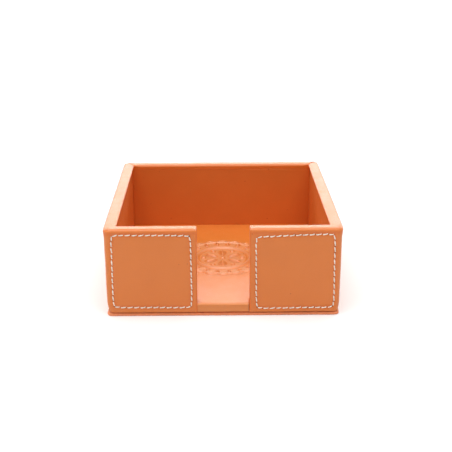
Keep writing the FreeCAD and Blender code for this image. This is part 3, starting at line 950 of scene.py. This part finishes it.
def floor_hide():
    """The glossy floor hide, with the tongue that folds over the lip between the front panels."""
    edge = FLOOR_HIGH.x
    fine = 0.22 * MM
    middle, wide = EMBOSS_AT[0], MEDAL + 1.8 * MM
    columns = spread(-edge, 1.2 * MM, middle - wide, fine, -TONGUE,
                     fine, TONGUE, fine, middle + wide, 1.2 * MM, edge)
    rows, main = floor_rows(fine)
    y, z, tilt = (np.array(part)[:, None] for part in zip(*rows))
    grid = np.zeros((len(rows), len(columns), 3))
    grid[..., 0], grid[..., 1], grid[..., 2] = columns, y, z
    x = grid[..., 0]
    flat = tilt < 0.01
    on_tongue = np.arange(len(rows))[:, None] >= main

    height, stamped = emboss(x, grid[..., 1])
    out = np.where(flat, height + FLOOR_RISE * y / WELL, 0.0)
    out += waves(grid, FLOOR_WAVES, FLOOR_SEED) - FLOOR_WAVES[0][0]
    below = 1 - smooth(LIP_EDGE - 0.9 * MM, LIP_EDGE + 0.1 * MM, z)
    out -= LIP_STEP * below * smooth(pi / 4, pi / 2, tilt)
    out += LIP_BEAD * bell(z - (LIP_EDGE + 0.15 * MM), LIP_HALF) * (tilt > 0.5)
    out -= LIP_LINE * bell(z - (LIP_EDGE - 0.50 * MM), LIP_HALF) * (tilt > 1.5)
    tuck = np.where(x > 0, TONGUE_TUCK["right"], TONGUE_TUCK["left"])
    out -= np.where(on_tongue, smooth(TONGUE - 0.5 * MM, TONGUE, np.abs(x)) ** 2 * tuck, 0.0)
    dent = bell(x - DENT_AT[0], DENT_SIZE[0]) * bell(y - DENT_AT[1], DENT_SIZE[1]) * flat
    out -= DENT_DEPTH * dent
    out = np.where(z <= FOOT + FOOT_RADIUS * 1.01, np.minimum(out, 0.0) * 0.3, out)

    # Tones: the floor's own middle tint, the emboss's painted reflection and shade, painted shade in the dent
    # and along the tongue's right edge.
    tones = np.where(flat, stamped, MID_TONE) + DENT_SHADE * dent
    tones += TONGUE_SHADE * bell(x - TONGUE, TONGUE_HALF) * smooth(0.3, 1.2, tilt)
    dip = (1 - smooth(FLOOR_LOW.y, DIP_FROM, y)) * smooth(FOOT + 1 * MM, LIP_EDGE, z)
    grid[..., 1] -= np.sin(tilt) * out
    grid[..., 2] += np.cos(tilt) * out - LIP_DIP * dip

    keep = np.ones((len(rows) - 1, len(columns) - 1), bool)
    keep[main - 1:, np.abs((columns[1:] + columns[:-1]) / 2) > TONGUE] = False
    faces = grid_faces(len(rows), len(columns), keep)
    used = sorted({v for face in faces for v in face})
    index = {old: new for new, old in enumerate(used)}
    faces = [tuple(index[v] for v in face) for face in faces]
    make_object("floor_hide", grid.reshape(-1, 3)[used], faces, FLOOR_LOOK,
                ("floor_lining",), tones=tones.ravel()[used])


# ----- suede pad

PAD_SEED = 41
PAD_CORNER = 2.2 * MM
FUZZ, FUZZ_FROM = 0.09 * MM, -1 * MM  # unevenness of the edge's felt, and how far in it begins
FELT_IN = 0.12 * MM  # the felt's mean edge in from its furthest
# Section of the pad's edge in mm: reach out from the pad's side, height.
PAD_EDGE = (
    (-2, 0.02), (-0.1, 0.02), (0.15, 0.12), (0.26, 0.34), (0.28, 0.62), (0.24, 0.90), (0.10, 1.12),
    (-0.15, 1.27), (-0.50, 1.35), (-1.2, 1.38), (-2, 1.38),
)
HAIR_ROOT = 0.12 * MM  # out from the pad's side
HAIR_HEIGHTS = (0.06 * MM, 0.78 * MM)
HAIR_REACH = (0.12, 0.34)  # in mm
HAIR_STRAY = 0.18 * MM
HAIR_FALL = 0.10 * MM
HAIR_HALF = 0.022 * MM
HAIR_LOWEST = 0.03 * MM


def pad_ring():
    """The pad's outline, once round."""
    half = PAD_HIGH.x
    step = 0.34 * MM
    centre = -half + PAD_CORNER
    base = [(centre - PAD_CORNER * cos(a), centre - PAD_CORNER * sin(a))
            for a in np.linspace(0, pi / 2, 5)[1:-1]]
    base += [(x, -half) for x in spread(centre, step, -centre)]
    ring = []
    for turn in range(4):
        c, s = round(cos(turn * pi / 2)), round(sin(turn * pi / 2))
        ring.extend((c * x - s * y, s * x + c * y) for x, y in base)
    return np.array(ring)


def suede_pad():
    """The felted suede pad under the box, with a furry cut edge."""
    chance = np.random.default_rng(PAD_SEED)
    half, top = PAD_HIGH.x, PAD_HIGH.z
    ring = pad_ring()
    count = len(ring)
    away = ring / np.linalg.norm(ring, axis=1, keepdims=True)
    edge = [(reach * MM, z * MM) for reach, z in PAD_EDGE]
    rows = [(-half * 0.5, edge[0][1]), *edge, (-3 * MM, top), (-half * 0.5, top)]
    verts = []
    for reach, z in rows:
        fuzz = chance.normal(0, 1, count) * FUZZ * (FUZZ_FROM < reach)
        spots = ring + away * (reach - FELT_IN + np.minimum(fuzz, FELT_IN))[:, None]
        verts.extend(np.column_stack([spots, np.full(count, z)]))
    faces = tube_faces(0, len(rows), count)
    for _ in range(5200):
        spot = chance.integers(count)
        root = ring[spot] + away[spot] * HAIR_ROOT
        z = chance.uniform(*HAIR_HEIGHTS)
        side = np.array((-away[spot][1], away[spot][0]))
        reach = chance.uniform(*HAIR_REACH) * MM
        end = root + away[spot] * reach + side * chance.normal(0, HAIR_STRAY)
        tip = min(max(z + chance.normal(0, HAIR_FALL), HAIR_LOWEST), top)
        width = side * HAIR_HALF
        first = len(verts)
        verts.extend([(*(root - width), z), (*(root + width), z), (*end, tip)])
        faces.append((first, first + 1, first + 2))
    make_object("base_suede_pad", np.array(verts), faces, SUEDE_LOOK, ("base_pad",), weld=FINE_WELD)


# ----- camera, light and floor

CAMERA_AT = (-3.9 * MM, -405.0 * MM, 173.7 * MM)
PITCH = radians(20.37)
YAW = radians(0.82)
ROLL = radians(-0.05)
FOCAL_PIXELS = 880.6
IMAGE_PIXELS = 452
SENSOR = 36.0


def add_camera():
    """The photograph's camera, found by fitting the box's edges."""
    data = bpy.data.cameras.new("camera")
    data.sensor_width = SENSOR
    data.lens = FOCAL_PIXELS / IMAGE_PIXELS * SENSOR
    data.clip_start = 0.01
    data.clip_end = 20.0
    camera = new_object("camera", data)
    forward = Vector((sin(YAW) * cos(PITCH), cos(YAW) * cos(PITCH), -sin(PITCH)))
    right = Vector((cos(YAW), -sin(YAW), 0.0))
    up = right.cross(forward)
    turned_right = cos(ROLL) * right + sin(ROLL) * up
    turned_up = -sin(ROLL) * right + cos(ROLL) * up
    turn = Matrix((turned_right, turned_up, -forward)).transposed()
    camera.matrix_world = Matrix.Translation(Vector(CAMERA_AT)) @ turn.to_4x4()
    bpy.context.scene.camera = camera


WORLD_LIGHT = 0.29
BACKDROP = 1.0
LAMPS = (  # name, place, aim, width, height, watts
    ("overhead", (0.0, -0.25, 1.05), (0, 0, 0), 1.1, 1.1, 11.3),
    ("behind", (0.0, 1.10, 0.50), (0, 0, 0.02), 2.4, 0.42, 12.3),
    ("left", (-1.0, -0.2, 0.45), (0, 0, 0.02), 1.0, 0.7, 2.0),
    ("right", (1.0, -0.2, 0.45), (0, 0, 0.02), 1.0, 0.7, 0.35),
)
FLOOR_WHITE = 0.86
FLOOR_LIFT = 0.165  # glow near the box, which leaves its shadow
LIFT_FROM, LIFT_TO = 0.30, 1.00  # distances between which the floor fades to the backdrop's white
FLOOR_HALF = 6.0


def add_world():
    """Even white light, with a plain white backdrop for all but diffuse rays."""
    world = bpy.data.worlds.new("studio")
    bpy.context.scene.world = world
    world.use_nodes = True
    nodes, links = world.node_tree.nodes, world.node_tree.links
    nodes.clear()
    out = nodes.new("ShaderNodeOutputWorld")
    mix = nodes.new("ShaderNodeMixShader")
    rays = nodes.new("ShaderNodeLightPath").outputs
    seen = arithmetic(nodes, links, "ADD", rays["Is Camera Ray"], rays["Is Glossy Ray"])
    seen = arithmetic(nodes, links, "ADD", seen, rays["Is Transmission Ray"], clamp=True)
    links.new(seen, mix.inputs["Fac"])
    for socket, strength in ((1, WORLD_LIGHT), (2, BACKDROP)):
        light = nodes.new("ShaderNodeBackground")
        fill(light, {"Color": (1, 1, 1, 1), "Strength": strength})
        links.new(light.outputs[0], mix.inputs[socket])
    links.new(mix.outputs[0], out.inputs[0])


def add_lamp(name, place, aim, width, height, watts):
    """A soft box that the camera doesn't see."""
    data = bpy.data.lights.new(name, "AREA")
    data.shape = "RECTANGLE"
    data.size = width
    data.size_y = height
    data.energy = watts
    lamp = new_object(name, data)
    lamp.location = place
    lamp.rotation_mode = "QUATERNION"
    lamp.rotation_quaternion = (Vector(aim) - Vector(place)).to_track_quat("-Z", "Y")
    lamp.visible_camera = False


def add_floor():
    """The white table, which also glows for the camera, so that it runs into the backdrop."""
    material, nodes, links, shader = node_material("white_sweep")
    fill(shader, {"Base Color": (*grey(FLOOR_WHITE), 1), "Roughness": 0.9, "Specular IOR Level": 0.0})
    away = nodes.new("ShaderNodeVectorMath")
    away.operation = "LENGTH"
    links.new(object_place(nodes), away.inputs[0])
    lift = nodes.new("ShaderNodeMapRange")
    lift.interpolation_type = "SMOOTHSTEP"
    fill(lift, {"From Min": LIFT_FROM, "From Max": LIFT_TO, "To Min": FLOOR_LIFT, "To Max": BACKDROP})
    links.new(away.outputs["Value"], lift.inputs["Value"])
    camera_ray = nodes.new("ShaderNodeLightPath").outputs["Is Camera Ray"]
    strength = arithmetic(nodes, links, "MULTIPLY", camera_ray, lift.outputs["Result"])
    glow = nodes.new("ShaderNodeEmission")
    links.new(strength, glow.inputs["Strength"])
    add = nodes.new("ShaderNodeAddShader")
    links.new(shader.outputs[0], add.inputs[0])
    links.new(glow.outputs[0], add.inputs[1])
    out = next(node for node in nodes if node.type == "OUTPUT_MATERIAL")
    links.new(add.outputs[0], out.inputs[0])
    mesh = bpy.data.meshes.new("floor")
    corners = [(x * FLOOR_HALF, y * FLOOR_HALF, 0) for x, y in ((-1, -1), (1, -1), (1, 1), (-1, 1))]
    mesh.from_pydata(corners, [], [(0, 1, 2, 3)])
    mesh.materials.append(material)
    obj = new_object("floor", mesh)


# ----- the scene

side_cover("left")
side_cover("right")
back_cover()
for hand in ("left", "right"):
    holes = stitch_holes(hand)
    sewing(hand, holes)
    awl_holes(hand, holes)
for node, facing, seed in LININGS:
    lining(node, facing, seed)
floor_hide()
suede_pad()

for name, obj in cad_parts.items():
    if name.endswith("_board") or name == "base_infill":
        obj.data.materials.clear()
        obj.data.materials.append(CARD_LOOK if name == "base_infill" else BOARD_LOOK)

add_camera()
add_world()
for lamp in LAMPS:
    add_lamp(*lamp)
add_floor()
bpy.context.scene.view_settings.view_transform = "Standard"
